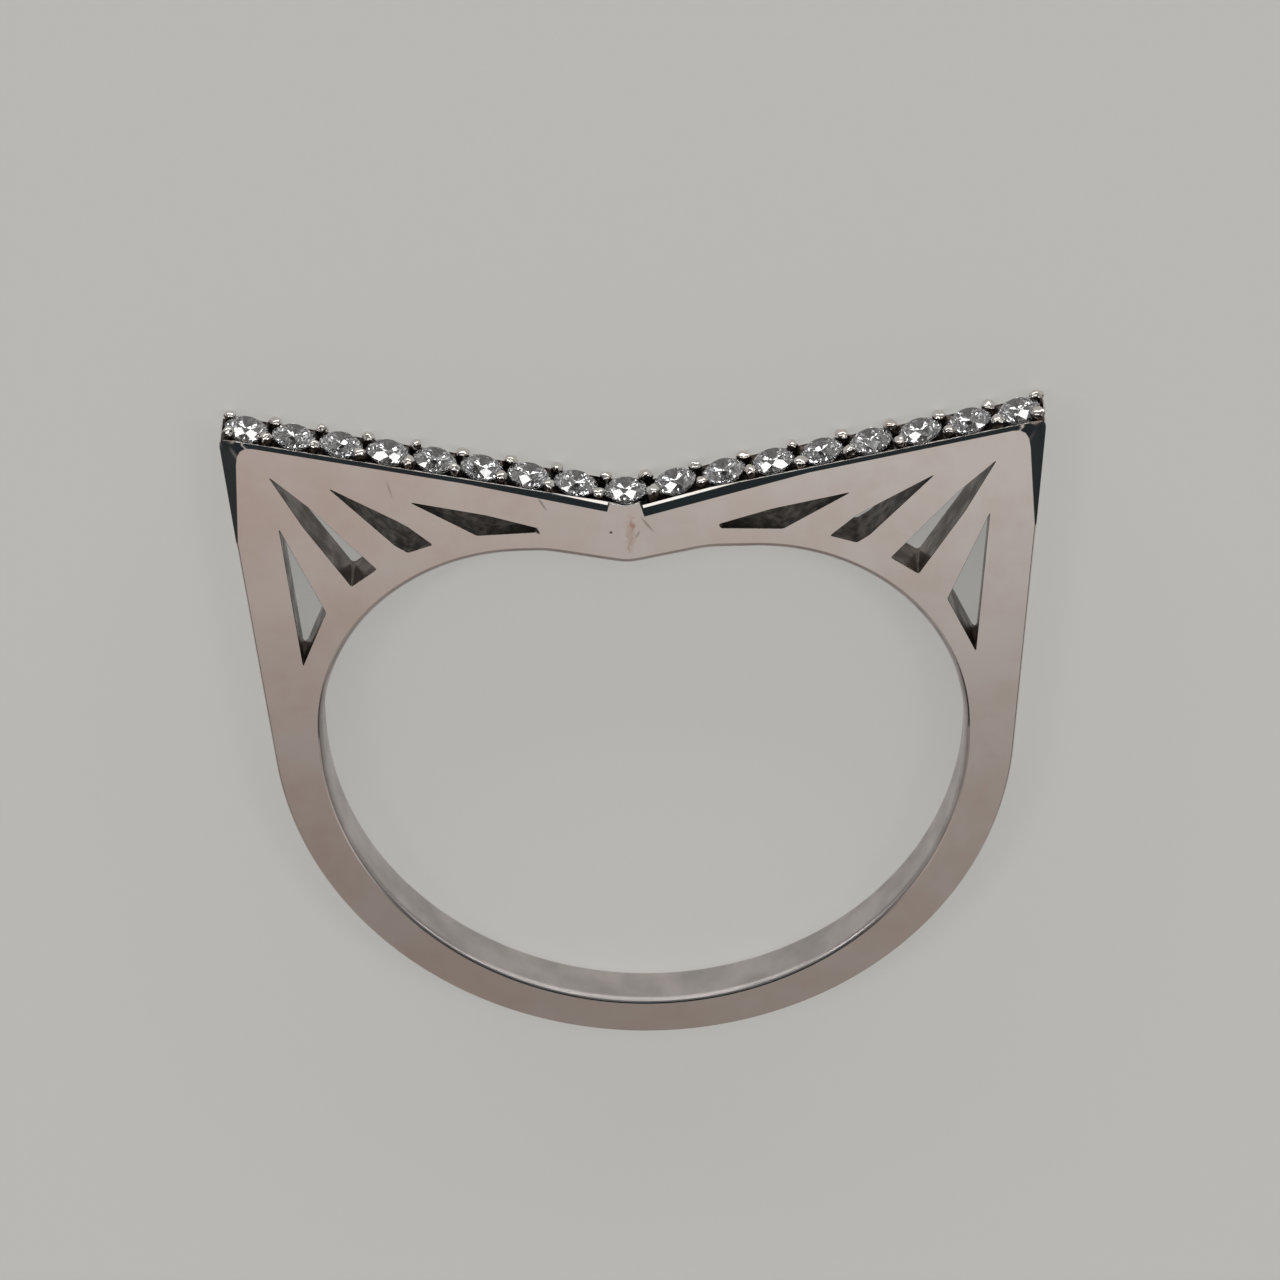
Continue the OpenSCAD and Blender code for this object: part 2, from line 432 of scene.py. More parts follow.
def new_material(name: str) -> tuple[Material, Tree]:
    """Makes an empty material that uses nodes.

    Args:
        name: Name of the material.

    Returns:
        The material and its cleared node tree.
    """
    material = bpy.data.materials.new(name)
    material.use_nodes = True
    material.node_tree.nodes.clear()
    return material, material.node_tree


def wear(obj: Piece, material: Material) -> None:
    """Puts one material on every face of an object.

    Args:
        obj: The object.
        material: The material.
    """
    obj.data.materials.clear()
    obj.data.materials.append(material)


class Trace(Enum):
    """What wear has left on a polished face."""

    STAIN = 1
    # Pits and a burr, painted as dark spots of shade
    PIT_SHADE = 2
    SCRATCH = 3


@dataclass(frozen=True)
class Mark:
    """One mark on the upper side face.

    Attributes:
        trace: What kind of mark it is.
        spot: Its middle, across and up, in millimetres.
        half_length: Half its length.
        half_width: Half its width.
        turn: Direction of its length, in degrees from across.
        strength: How much of it shows, up to 1.
    """

    trace: Trace
    spot: Point
    half_length: float
    half_width: float
    turn: float = 0.0
    strength: float = 1.0


@dataclass(frozen=True)
class Facet:
    """A flat filed off the upper edge of an arm, which starts beside the middle stone and tapers out.

    Attributes:
        arm: The arm it lies on.
        near_x: Run across at which it starts.
        near_h: Its height there, measured down from the arm's top edge.
        far_x: Run across at which its far height is measured.
        far_h: Its height there.
        fall: How far it cuts into the side face for each millimetre of its height.
    """

    arm: Arm
    near_x: float
    near_h: float
    far_x: float
    far_h: float
    fall: float


@dataclass(frozen=True)
class RingForm:
    """The ring's sizes in millimetres: those of its solids, but finer at the bevels, facets and beads."""

    hole_w: float = 17.6
    hole_corner_r: float = 5.65
    hole_corner_y: float = 0.3
    hole_tip_y: float = 5.5
    hole_tip_half_w: float = 2.2
    shank_r: float = 10.2
    shank_rise: float = 0.3
    shoulder_lean: float = 5.4
    corner_y: float = 9.75
    apex_x: float = -0.25
    apex_y: float = 7.36
    stone_d: float = 1.2
    arm_stones: int = 8
    first_stone_x: float = 1.35
    last_stone_x: float = 0.73
    girdle_lift: float = 0.05
    middle_girdle_y: float = 7.46
    seat_gap: float = 0.02
    bead_d: float = 0.37
    bead_lift: float = 0.115
    bead_side: float = 0.45
    bead_stagger: float = 0.1
    end_bead_x: float = 0.25
    channel_depth: float = 0.1
    rail_w: float = 0.08
    bevel_top: float = 0.043
    bevel_face: float = 0.115
    # Rounded lip between the bevel and the top of an arm
    lip: float = 0.008
    corner_facet_w: float = 0.45
    corner_facet_d: float = 0.12
    corner_facet_y: float = 6.5
    # On each arm a broad dark facet, and a narrow one above it that catches the light
    facets: tuple[Facet, ...] = (
        Facet(Arm.LEFT, 0.5, 0.28, 4.2, 0.13, 0.2),
        Facet(Arm.RIGHT, 0.5, 0.45, 5.2, 0.11, 0.17),
        Facet(Arm.LEFT, 0.5, 0.15, 2.4, 0.07, 0.58),
        Facet(Arm.RIGHT, 0.5, 0.27, 3.2, 0.08, 0.58),
    )
    band_w: float = field(default_factory=lambda: (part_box("ring_band")[1].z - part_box("ring_band")[0].z) / MM)
    # Slots of the right shoulder, one row a slot, from the tip round to the inner end and back
    slots: tuple[tuple[Point, ...], ...] = (
        ((9.61, 6.87), (8.46, 4.19), (9.19, 2.5)),
        ((9.79, 8.51), (8.75, 7.53), (6.98, 5.54), (7.70, 5.01), (8.95, 6.95)),
        ((8.15, 8.11), (6.12, 6.92), (5.39, 6.28), (6.08, 6.05), (6.42, 6.28)),
        ((5.92, 7.62), (3.85, 7.16), (2.45, 6.72), (2.50, 6.60), (4.14, 6.54)),
    )

    @property
    def mid_z(self) -> float:
        """Middle of the band along the finger."""
        return self.band_w / 2

    @property
    def tangent(self) -> Point:
        """Where the right outer side leaves the round shank."""
        lean = math.radians(self.shoulder_lean)
        return self.shank_r * math.cos(lean), self.shank_rise - self.shank_r * math.sin(lean)

    @property
    def corner_x(self) -> float:
        """Half the width over the outer corners."""
        x, y = self.tangent
        return x + (self.corner_y - y) * math.tan(math.radians(self.shoulder_lean))

    def run(self, arm: Arm) -> float:
        """Run of an arm across, from the bottom of the V to its corner."""
        return self.corner_x - arm.value * self.apex_x

    def slope(self, arm: Arm) -> float:
        """Slope of an arm's top edge, in radians."""
        return math.atan((self.corner_y - self.apex_y) / self.run(arm))

    def top(self, arm: Arm, run: float) -> float:
        """Height of an arm's top edge at a run across."""
        return self.apex_y + run * math.tan(self.slope(arm))

    def pitch(self, arm: Arm) -> float:
        """Spacing of an arm's stones across."""
        return (self.run(arm) - self.first_stone_x - self.last_stone_x) / (self.arm_stones - 1)

    def stone_run(self, arm: Arm, k: int) -> float:
        """Run across of an arm's stone, counted from the bottom of the V."""
        return self.first_stone_x + k * self.pitch(arm)

    def on_arm(self, arm: Arm, run: float, lift: float = 0.0, side: float = 0.0) -> Matrix:
        """Frame on an arm's top edge, with Y straight out of it.

        Args:
            arm: The arm.
            run: Run across from the bottom of the V.
            lift: Height above the top edge.
            side: Distance from the middle of the band, along the finger.

        Returns:
            The frame as a matrix.
        """
        spot = Matrix.Translation((self.apex_x + arm.value * run, self.top(arm, run), self.mid_z))
        tilt = Matrix.Rotation(arm.value * self.slope(arm), 4, "Z")
        return spot @ tilt @ Matrix.Translation((0.0, lift, side))

    def shifted(self, x: float) -> float:
        """Place across of a point, moved as the bottom of the V is, and less so towards the corners."""
        return x + self.apex_x * (1 - abs(x) / self.corner_x)


@dataclass(frozen=True)
class PolishedWhiteGold:
    """White gold, cast in one piece, filed, and polished on a felt wheel.

    The bare alloy is a warm grey, not the blue-white of plating, and it takes a mirror polish that daily
    wear has crossed with hair scratches and dulled a little.
    """

    alloy: str = "#e9e6e2"
    warm: str = "#e3dad3"
    stain: str = "#c9ad9d"
    # Colour of the dark spots: painted shade of the pits and the burr
    pit_shade: str = "#3a332e"
    roughness: float = 0.11
    scratched_roughness: float = 0.26
    cloud_mm: float = 2.0
    wave_mm: float = 3.0
    rag_mm: float = 0.12
    rag_push_mm: float = 0.3
    scratch_turns: tuple[float, ...] = (20.0, 75.0, 140.0)
    scratch_spacing_mm: float = 0.35
    scratch_length_mm: float = 4.0
    mark_depth_mm: float = 0.04
    face_z_mm: float = field(default_factory=lambda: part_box("ring_band")[1].z / MM)
    # The marks round the bottom of the V, as the photograph shows them
    marks: tuple[Mark, ...] = (
        Mark(Trace.STAIN, (-0.14, 6.5), 0.7, 0.17, 88.0, 0.45),
        Mark(Trace.STAIN, (-0.1, 6.75), 0.32, 0.07, 88.0),
        Mark(Trace.STAIN, (-0.18, 6.15), 0.35, 0.06, 80.0, 0.7),
        # Pits, painted as dark spots of shade
        Mark(Trace.PIT_SHADE, (-0.67, 6.54), 0.05, 0.05),
        Mark(Trace.PIT_SHADE, (0.27, 7.1), 0.03, 0.03),
        Mark(Trace.PIT_SHADE, (0.45, 7.1), 0.03, 0.03),
        # A burr beside a slot's inner end, painted as a dark spot of shade
        Mark(Trace.PIT_SHADE, (-2.66, 6.63), 0.13, 0.06, -60.0),
        Mark(Trace.SCRATCH, (-2.5, 7.48), 0.29, 0.045, -62.0),
        Mark(Trace.SCRATCH, (-6.6, 8.05), 0.33, 0.04, -76.0, 0.7),
        Mark(Trace.SCRATCH, (0.32, 6.75), 0.36, 0.045, -55.0),
        Mark(Trace.SCRATCH, (0.05, 6.45), 0.16, 0.04, 62.0),
    )

    def material(self) -> Material:
        """Builds the material.

        Returns:
            The material.
        """
        material, tree = new_material("white_gold_polished")
        place = add_node(tree, "ShaderNodeTexCoord").outputs["Object"]
        kinds = [self.scratches(tree, place), self.mask(tree, place, Trace.SCRATCH)]
        scratches = gathered(tree, Gather.LARGEST, kinds)
        rough = add_node(tree, "ShaderNodeMapRange", {3: self.roughness, 4: self.scratched_roughness},
                         {0: scratches})
        # A wheel leaves the flats very slightly wavy
        waves = add_node(tree, "ShaderNodeTexNoise", {"Scale": 1 / (self.wave_mm * MM), "Detail": 1.0},
                         {"Vector": place})
        wavy = add_node(tree, "ShaderNodeBump", {"Strength": 0.25, "Distance": 0.01 * MM},
                        {"Height": waves.outputs["Fac"]})
        bump = add_node(tree, "ShaderNodeBump", {"Strength": 0.15, "Distance": 0.002 * MM, "invert": True},
                        {"Height": scratches, "Normal": wavy.outputs["Normal"]})
        close_tree(tree, {"Metallic": 1.0}, {
            "Base Color": self.colour(tree, place),
            "Roughness": rough.outputs[0],
            "Normal": bump.outputs["Normal"],
        })
        return material

    def colour(self, tree: Tree, place: Socket) -> Socket:
        """Alloy colour, a little warmer in clouds, with the stain and the pits over it.

        Args:
            tree: The node tree.
            place: The Object coordinates.

        Returns:
            The colour.
        """
        grain = {"Scale": 1 / (self.cloud_mm * MM), "Detail": 6.0, "Roughness": 0.6}
        clouds = add_node(tree, "ShaderNodeTexNoise", grain, {"Vector": place})
        share = add_node(tree, "ShaderNodeMapRange", {1: 0.38, 2: 0.66}, {0: clouds.outputs["Fac"]})
        tones = {"data_type": "RGBA", 6: srgb(self.alloy), 7: srgb(self.warm)}
        mixed = add_node(tree, "ShaderNodeMix", tones, {0: share.outputs[0]}).outputs[2]
        # Noise pushes the stain's outline about, so that it comes out ragged
        rags = add_node(tree, "ShaderNodeTexNoise", {"Scale": 1 / (self.rag_mm * MM), "Detail": 3.0},
                        {"Vector": place})
        push = add_node(tree, "ShaderNodeVectorMath", {"operation": "SUBTRACT", 1: (0.5, 0.5, 0.5)},
                        {0: rags.outputs["Color"]})
        reach = (self.rag_push_mm * MM, self.rag_push_mm * MM, 0.0)
        ragged = add_node(tree, "ShaderNodeVectorMath", {"operation": "MULTIPLY_ADD", 1: reach},
                          {0: push.outputs[0], 2: place})
        # The stain is a colour of the metal; the pit marks are painted shade
        kinds = ((Trace.STAIN, ragged.outputs[0], self.stain), (Trace.PIT_SHADE, place, self.pit_shade))
        for trace, spots, tone in kinds:
            mixed = add_node(tree, "ShaderNodeMix", {"data_type": "RGBA", 7: srgb(tone)},
                             {0: self.mask(tree, spots, trace), 6: mixed}).outputs[2]
        return mixed

    def mask(self, tree: Tree, place: Socket, trace: Trace) -> Socket:
        """Where the marks of one kind are: a flat ellipsoid for each, on the upper side face only.

        Args:
            tree: The node tree.
            place: The Object coordinates.
            trace: The kind of mark.

        Returns:
            A value from 0 beside the marks to 1 in them.
        """
        shares = []
        for mark in (mark for mark in self.marks if mark.trace is trace):
            own = add_node(tree, "ShaderNodeMapping", {
                "vector_type": "TEXTURE",
                "Location": (mark.spot[0] * MM, mark.spot[1] * MM, self.face_z_mm * MM),
                "Rotation": (0.0, 0.0, math.radians(mark.turn)),
                "Scale": (mark.half_length * MM, mark.half_width * MM, self.mark_depth_mm * MM),
            }, {"Vector": place})
            ball = add_node(tree, "ShaderNodeTexGradient", {"gradient_type": "SPHERICAL"},
                            {"Vector": own.outputs[0]})
            soft = add_node(tree, "ShaderNodeMapRange", {2: 0.6, 4: mark.strength}, {0: ball.outputs["Fac"]})
            shares.append(soft.outputs[0])
        return gathered(tree, Gather.LARGEST, shares)

    def scratches(self, tree: Tree, place: Socket) -> Socket:
        """Hair scratches in three directions: noise drawn out along each, of which only the peaks count.

        A real hair scratch is 5 to 10 microns wide. These are about 30, because finer ones don't show.

        Args:
            tree: The node tree.
            place: The Object coordinates.

        Returns:
            A value from 0 where the metal is clean to 1 in a scratch.
        """
        length, spacing = self.scratch_length_mm * MM, self.scratch_spacing_mm * MM
        shares = []
        for turn in self.scratch_turns:
            drawn = add_node(tree, "ShaderNodeMapping", {
                "vector_type": "TEXTURE",
                "Rotation": (0.0, 0.0, math.radians(turn)),
                "Scale": (length, spacing, spacing),
            }, {"Vector": place})
            grain = add_node(tree, "ShaderNodeTexNoise", {"Scale": 1.0, "Detail": 3.0, "Roughness": 0.7},
                             {"Vector": drawn.outputs[0]})
            peaks = add_node(tree, "ShaderNodeMapRange", {1: 0.73, 2: 0.85}, {0: grain.outputs["Fac"]})
            shares.append(peaks.outputs[0])
        return gathered(tree, Gather.LARGEST, shares)


@dataclass(frozen=True)
class WornShadedWhiteGold:
    """White gold of the finger hole's wall and rims, which skin has rubbed to an even satin.

    It shows the floor and the finger only as soft, greyer patches. Its tones are darker than the polished
    metal's: painted shade of the hole.
    """

    # Darker than the polished alloy: painted shade of the finger hole
    tones: tuple[str, str] = ("#cec7c6", "#b7b1af")
    roughness: Point = (0.28, 0.38)
    cloud_mm: float = 1.2
    cloud_edge: Point = (0.35, 0.65)

    def material(self) -> Material:
        """Builds the material.

        Returns:
            The material.
        """
        material, tree = new_material("white_gold_worn_shaded")
        place = add_node(tree, "ShaderNodeTexCoord").outputs["Object"]
        satin = mottled(tree, place, self.cloud_mm, self.cloud_edge, self.tones, self.roughness)
        close_tree(tree, {"Metallic": 1.0}, satin)
        return material


@dataclass(frozen=True)
class SawnShadedWhiteGold:
    """White gold inside the piercings and seats, sawn and drilled, where no polishing wheel reaches.

    These walls are dull, and their dark tones are painted shade of the narrow recesses.
    """

    name: str = "white_gold_sawn_shaded"
    # Dark tones: painted shade of the narrow walls and recesses
    tones: tuple[str, str] = ("#8a8079", "#635a54")
    roughness: Point = (0.22, 0.36)
    mottle_mm: float = 0.6
    mottle_edge: Point = (0.35, 0.6)
    # A wave texture of scale 1 repeats about every 0.3 units
    wave_part: float = 0.3
    stroke_mm: float = 0.05

    def material(self) -> Material:
        """Builds the material.

        Returns:
            The material.
        """
        material, tree = new_material(self.name)
        place = add_node(tree, "ShaderNodeTexCoord").outputs["Object"]
        # Two dark tones in soft clouds: painted shade of these recesses, with the dull roughness of the walls
        shaded_mottle = mottled(tree, place, self.mottle_mm, self.mottle_edge, self.tones, self.roughness)
        # The saw leaves fine strokes across the band. Real ones are about 0.02 mm apart, too fine to show
        strokes = add_node(tree, "ShaderNodeTexWave", {
            "bands_direction": "Z",
            "Scale": self.wave_part / (self.stroke_mm * MM),
            "Distortion": 3.0,
        }, {"Vector": place})
        bump = add_node(tree, "ShaderNodeBump", {"Strength": 0.2, "Distance": 0.002 * MM},
                        {"Height": strokes.outputs["Fac"]})
        close_tree(tree, {"Metallic": 1.0}, {**shaded_mottle, "Normal": bump.outputs["Normal"]})
        return material


@dataclass(frozen=True)
class PolishedDiamond:
    """Colourless diamond, cut as a round brilliant and polished on an iron lap.

    Its facets are flat and glass-smooth, and its high refractive index throws light back in hard bright
    and dark patches. The grey of its body is painted shade.
    """

    # Grey body and greyer clouds: painted shade that darkens all light through the colourless stones
    body: str = "#d6d7d9"
    cloud: str = "#bcbdc2"
    ior: float = 2.417
    cloud_mm: float = 0.4

    def material(self) -> Material:
        """Builds the material.

        Returns:
            The material.
        """
        material, tree = new_material("diamond_polished")
        place = add_node(tree, "ShaderNodeTexCoord").outputs["Object"]
        clouds = add_node(tree, "ShaderNodeTexNoise", {"Scale": 1 / (self.cloud_mm * MM), "Detail": 2.0},
                          {"Vector": place})
        tones = {"data_type": "RGBA", 6: srgb(self.body), 7: srgb(self.cloud)}
        tint = add_node(tree, "ShaderNodeMix", tones, {0: clouds.outputs["Fac"]})
        close_tree(tree, {"Roughness": 0.0, "IOR": self.ior, "Transmission Weight": 1.0},
                   {"Base Color": tint.outputs[2]})
        return material


@dataclass(frozen=True)
class MatteCard:
    """Pale uncoated card on a light table, which scatters light evenly with no shine.

    It glows a little, so that the piercings look light against the metal.
    """

    body: str = "#bcbbb8"
    light: str = "#e6e5e1"
    glow: float = 0.35

    def material(self) -> Material:
        """Builds the material.

        Returns:
            The material.
        """
        material, tree = new_material("card_matte")
        close_tree(tree, {
            "Base Color": srgb(self.body),
            "Roughness": 1.0,
            "Specular IOR Level": 0.0,
            "Emission Color": srgb(self.light),
            "Emission Strength": self.glow,
        })
        return material


@dataclass
class RingBand:
    """The one-piece metal of the ring: shank, pierced shoulders, V-shaped head, seats and beads."""

    form: RingForm
    polished: Material
    # Finishes of the cut walls and of the finger hole, darker than the polished metal by painted shade
    sawn_and_shaded: Material
    drilled_and_shaded: Material
    worn_and_shaded: Material
    # Radii of the rims, and how far the slots widen towards the resting face
    rim: float = 0.05
    hole_rim: float = 0.16
    slot_rim: float = 0.012
    slot_draft: float = 0.06
    apex_rim: float = 0.015
    edge_steps: int = 6
    # Reach of the rounded corners: on the outer wall, on the side face, of the slots, of the hanging point
    corner_reach: float = 0.32
    face_corner_reach: float = 0.6
    slot_reach: float = 0.06
    tip_reach: float = 0.3
    # Where an arm's bevel ends beside the middle stone, and how long its end and a facet's foot are
    bevel_stop_x: float = 0.45
    bevel_end: float = 0.05
    fade: float = 0.3
    # Z of a normal above which a face is flat, or an end, and below which a tool's face leaves a wall
    flat_z: float = 0.9999
    end_z: float = 0.9
    wall_z: float = 0.99
    channel_wall_z: float = 0.5
    # Angles over which an edge stays sharp: anywhere, between a flat and a rim, and between two facets that
    # are wider than a strip of a rounded rim
    smooth_angle: float = math.radians(35.0)
    sharp_angle: float = math.radians(6.0)
    facet_angle: float = math.radians(8.0)
    strip_w: float = 0.035
    # Corners nearer than this are one, and this much of a rim's normals follows the larger faces
    merge: float = 1e-5
    flat_weight: int = 80
    # How far a tool runs out past what it cuts
    overrun: float = 1.0
    # Beads: their stems, how unevenly they are set, how lumpy they are, and below which normal they carry
    # painted shade
    stem: float = 0.25
    stem_start: float = 0.3
    stem_flare: float = 1.15
    bead_drift: float = 0.03
    bead_size: Point = (0.82, 1.12)
    bead_lean: float = math.radians(14.0)
    bead_tip: float = math.radians(4.0)
    bead_shade_y: float = 0.3
    lump_size: float = 0.14
    lump_depth: float = 0.042
    # Seats: the floor, and the heights and width of a stone as parts of its diameter
    seat_floor_r: float = 0.06
    table_part: float = 0.57
    crown_part: float = 0.16
    pavilion_part: float = 0.43
    girdle_part: float = 0.03

    def edge(self, inset: float, drop: float, round_off: bool, step: int) -> tuple[float, float]:
        """One point of the profile by which a side face goes over into the outer wall.

        Args:
            inset: How far in from the wall the profile leaves the face.
            drop: How far below the face it meets the wall.
            round_off: Whether the profile is a quarter of an ellipse, and not a straight bevel.
            step: Number of the point, from 0 on the face.

        Returns:
            The point's distances in from the wall and below the face.
        """
        part = step / self.edge_steps
        if round_off:
            return inset * (1 - math.sin(part * math.pi / 2)), drop * (1 - math.cos(part * math.pi / 2))
        return inset * (1 - part), drop * part

    def arm_edge(self, step: int) -> tuple[float, float]:
        """One point of an arm's profile: the narrow bevel and then a lip that rounds it off into the top.

        Args:
            step: Number of the point, from 0 on the face.

        Returns:
            The point's distances in from the top and below the face.
        """
        form, lip, flats = self.form, self.form.lip, 2
        if step <= flats:
            part = 1 - step / flats
            return form.bevel_face * part + lip, form.bevel_top * (1 - part)
        turn = (step - flats) / (self.edge_steps - flats) * math.pi / 2
        return lip * (1 - math.sin(turn)), form.bevel_top + lip * (1 - math.cos(turn))

    def half_ring(self, arm: Arm, step: int) -> list[Spot]:
        """Half of one ring round the outer edge, from a shoulder's foot to the corner and in along the arm.

        Args:
            arm: The arm on this half.
            step: Number of the ring, from 0 on the side face to the last on the outer wall.

        Returns:
            Points with their places across and up, and their distances below the side face.
        """
        form = self.form
        lean, slope = math.radians(form.shoulder_lean), form.slope(arm)
        down, off_side = Vector((-math.sin(lean), -math.cos(lean))), Vector((-math.cos(lean), math.sin(lean)))
        inwards = Vector((-math.cos(slope), -math.sin(slope)))
        off_arm = Vector((math.sin(slope), -math.cos(slope)))
        corner = Vector((form.corner_x, form.corner_y))
        foot = corner + down * ((form.corner_y - form.corner_facet_y) / math.cos(lean))
        # The plain rim below the corner facet, and the facet's foot
        plain_in, plain_drop = self.edge(self.rim, self.rim, True, step)
        start_h = self.rim * form.corner_facet_d / form.corner_facet_w
        start_in, start_drop = self.edge(self.rim, start_h, False, step)
        below = foot + down * self.fade
        spots = [(*(below + off_side * plain_in), plain_drop), (*(foot + off_side * start_in), start_drop)]
        # The corner, which is rounded more on the side face than on the outer wall
        side_in, side_drop = self.edge(form.corner_facet_w, form.corner_facet_d, False, step)
        arm_in, arm_drop = self.arm_edge(step)
        turn = math.cos(slope + lean)
        tip = corner + inwards * side_in / turn + down * arm_in / turn
        off_wall = 1 - step / self.edge_steps
        reach = self.corner_reach + (self.face_corner_reach - self.corner_reach) * off_wall
        curve = rounded([tuple(foot + off_side * start_in), tuple(tip), tuple(tip + inwards)], reach)
        curve = curve[len(curve) // 3 : 2 * len(curve) // 3]
        for i, (x, y) in enumerate(curve):
            part = i / (len(curve) - 1)
            spots.append((x, y, side_drop + (arm_drop - side_drop) * part))
        # The end of the arm's bevel, and the fine rim beside the middle stone
        fine = self.edge(self.apex_rim, self.apex_rim, True, step)
        ends = ((self.bevel_stop_x, arm_in, arm_drop), (self.bevel_stop_x - self.bevel_end, *fine))
        for left, inset, drop in ends:
            spot = corner + inwards * (form.run(arm) - left) / math.cos(slope) + off_arm * inset
            spots.append((*spot, drop))
        return [(x if arm is Arm.RIGHT else -x, y, z) for x, y, z in spots]

    def ring(self, step: int) -> list[Spot]:
        """One whole ring round the outer edge.

        Args:
            step: Number of the ring, from 0 on the side face to the last on the outer wall.

        Returns:
            Points with their places across and up, and their distances below the side face.
        """
        form = self.form
        plain_in, plain_drop = self.edge(self.rim, self.rim, True, step)
        apex_in, apex_drop = self.edge(self.apex_rim, self.apex_rim, True, step)
        apex = (form.apex_x, form.apex_y - apex_in / math.cos(form.slope(Arm.RIGHT)), apex_drop)
        lean = form.shoulder_lean
        shank = arc((0.0, form.shank_rise), form.shank_r - plain_in, 180 + lean, 360 - lean)
        left = self.half_ring(Arm.LEFT, step)
        return [*self.half_ring(Arm.RIGHT, step), apex, *left[::-1], *[(x, y, plain_drop) for x, y in shank]]

    def blank(self) -> Piece:
        """The ring's solid outline with its edges already worked.

        Returns:
            The blank.
        """
        rings = [self.ring(step) for step in range(self.edge_steps + 1)]
        below = [[Vector((x, y, drop)) for x, y, drop in ring] for ring in rings]
        above = [[Vector((x, y, self.form.band_w - drop)) for x, y, drop in ring] for ring in rings]
        return loft("band", below + above[::-1])

    def saw(self, outline: list[Point], rim: float, draft: float = 0.0) -> Piece:
        """Saw for an opening, which flares at both side faces so that the opening's rims come out rounded.

        Args:
            outline: The opening's outline.
            rim: Radius of its rims.
            draft: How much further out each wall lies at the resting face than at the upper one.

        Returns:
            The tool.
        """
        width = self.form.band_w
        steps = [self.edge(rim, rim, True, step) for step in range(self.edge_steps + 1)]
        flare = [(-self.overrun, rim), *[(drop, inset) for inset, drop in steps]]
        levels = flare + [(width - z, by) for z, by in flare[::-1]]
        levels = [(z, by + draft * (1 - z / width)) for z, by in levels]
        return loft("saw", [[Vector((x, y, z)) for x, y in grown(outline, by)] for z, by in levels])

    def leave(self, tool: Piece, walls: Material | None = None, wall_z: float | None = None) -> Piece:
        """Gives a tool the finish that it leaves behind.

        Args:
            tool: The tool.
            walls: Finish of the upright walls that it cuts, where they don't come out polished, dark with
                painted shade.
            wall_z: Normal along the finger below which a face leaves such a wall.

        Returns:
            The same tool.
        """
        wear(tool, self.polished)
        if walls is not None:
            tool.data.materials.append(walls)
            for face in tool.data.polygons:
                face.material_index = int(abs(face.normal.z) < (wall_z or self.wall_z))
        return tool

    def hole_outline(self) -> list[Point]:
        """Outline of the finger hole: a half circle, two smaller corners, and a hanging point between them.

        Returns:
            The outline's points, counter-clockwise from the left.
        """
        form = self.form
        hole_r = form.hole_w / 2
        centre_x, top = hole_r - form.hole_corner_r, form.hole_corner_y + form.hole_corner_r
        tip = [
            (form.apex_x + form.hole_tip_half_w, top),
            (form.apex_x, form.hole_tip_y),
            (form.apex_x - form.hole_tip_half_w, top),
        ]
        soft = rounded([(centre_x, top), *tip, (-centre_x, top)], self.tip_reach)
        per_corner = len(soft) // 5
        return [
            *arc((0.0, 0.0), hole_r, 180, 360),
            *arc((centre_x, form.hole_corner_y), form.hole_corner_r, 0, 90),
            *soft[per_corner : 4 * per_corner],
            *arc((-centre_x, form.hole_corner_y), form.hole_corner_r, 90, 180),
        ]

    def slot_outlines(self) -> list[list[Point]]:
        """Outlines of the pierced slots of both shoulders.

        Returns:
            One rounded outline for each slot.
        """
        return [
            rounded([(self.form.shifted(arm.value * x), y) for x, y in slot], self.slot_reach)
            for arm in Arm
            for slot in self.form.slots
        ]

    def plate(self) -> Piece:
        """Pierces the blank with the finger hole and the slots.

        Returns:
            The pierced plate.
        """
        plate = self.leave(self.blank())
        # The finger hole's wall and rims take the satin finish, whose darker tones are painted shade
        combine(plate, self.leave(self.saw(self.hole_outline(), self.hole_rim), self.worn_and_shaded), Join.CUT)
        for number, outline in enumerate(self.slot_outlines()):
            # Slot walls and rims are dull and dark with painted shade; the two inner slots of each shoulder are
            # narrower and get more of it
            walls = self.drilled_and_shaded if number % len(self.form.slots) > 1 else self.sawn_and_shaded
            combine(plate, self.leave(self.saw(outline, self.slot_rim, self.slot_draft), walls), Join.CUT)
        return plate

    def file(self, facet: Facet, side: Side) -> Piece:
        """File for one facet on the upper edge of an arm.

        Args:
            facet: The facet.
            side: The side face.

        Returns:
            The tool.
        """
        form, reach, mid, across = self.form, 2.0, self.form.mid_z, facet.arm.value
        near_y = form.top(facet.arm, facet.near_x) - facet.near_h
        far_y = form.top(facet.arm, facet.far_x) - facet.far_h
        run = facet.far_x - facet.near_x
        slope = math.atan((far_y - near_y) / run)
        start = Matrix.Translation((form.apex_x + across * facet.near_x, near_y, mid))
        turned = Matrix.Rotation(across * slope, 4, "Z") @ Matrix.Scale(across, 4, (1.0, 0.0, 0.0))
        outline = [
            (0.0, side.value * mid),
            (0.0, side.value * (mid + self.overrun)),
            (reach, side.value * (mid + self.overrun)),
            (reach, side.value * (mid - reach * facet.fall)),
        ]
        return prism("file", outline, run / math.cos(slope) + self.overrun, start @ turned @ ALONG_ARM)

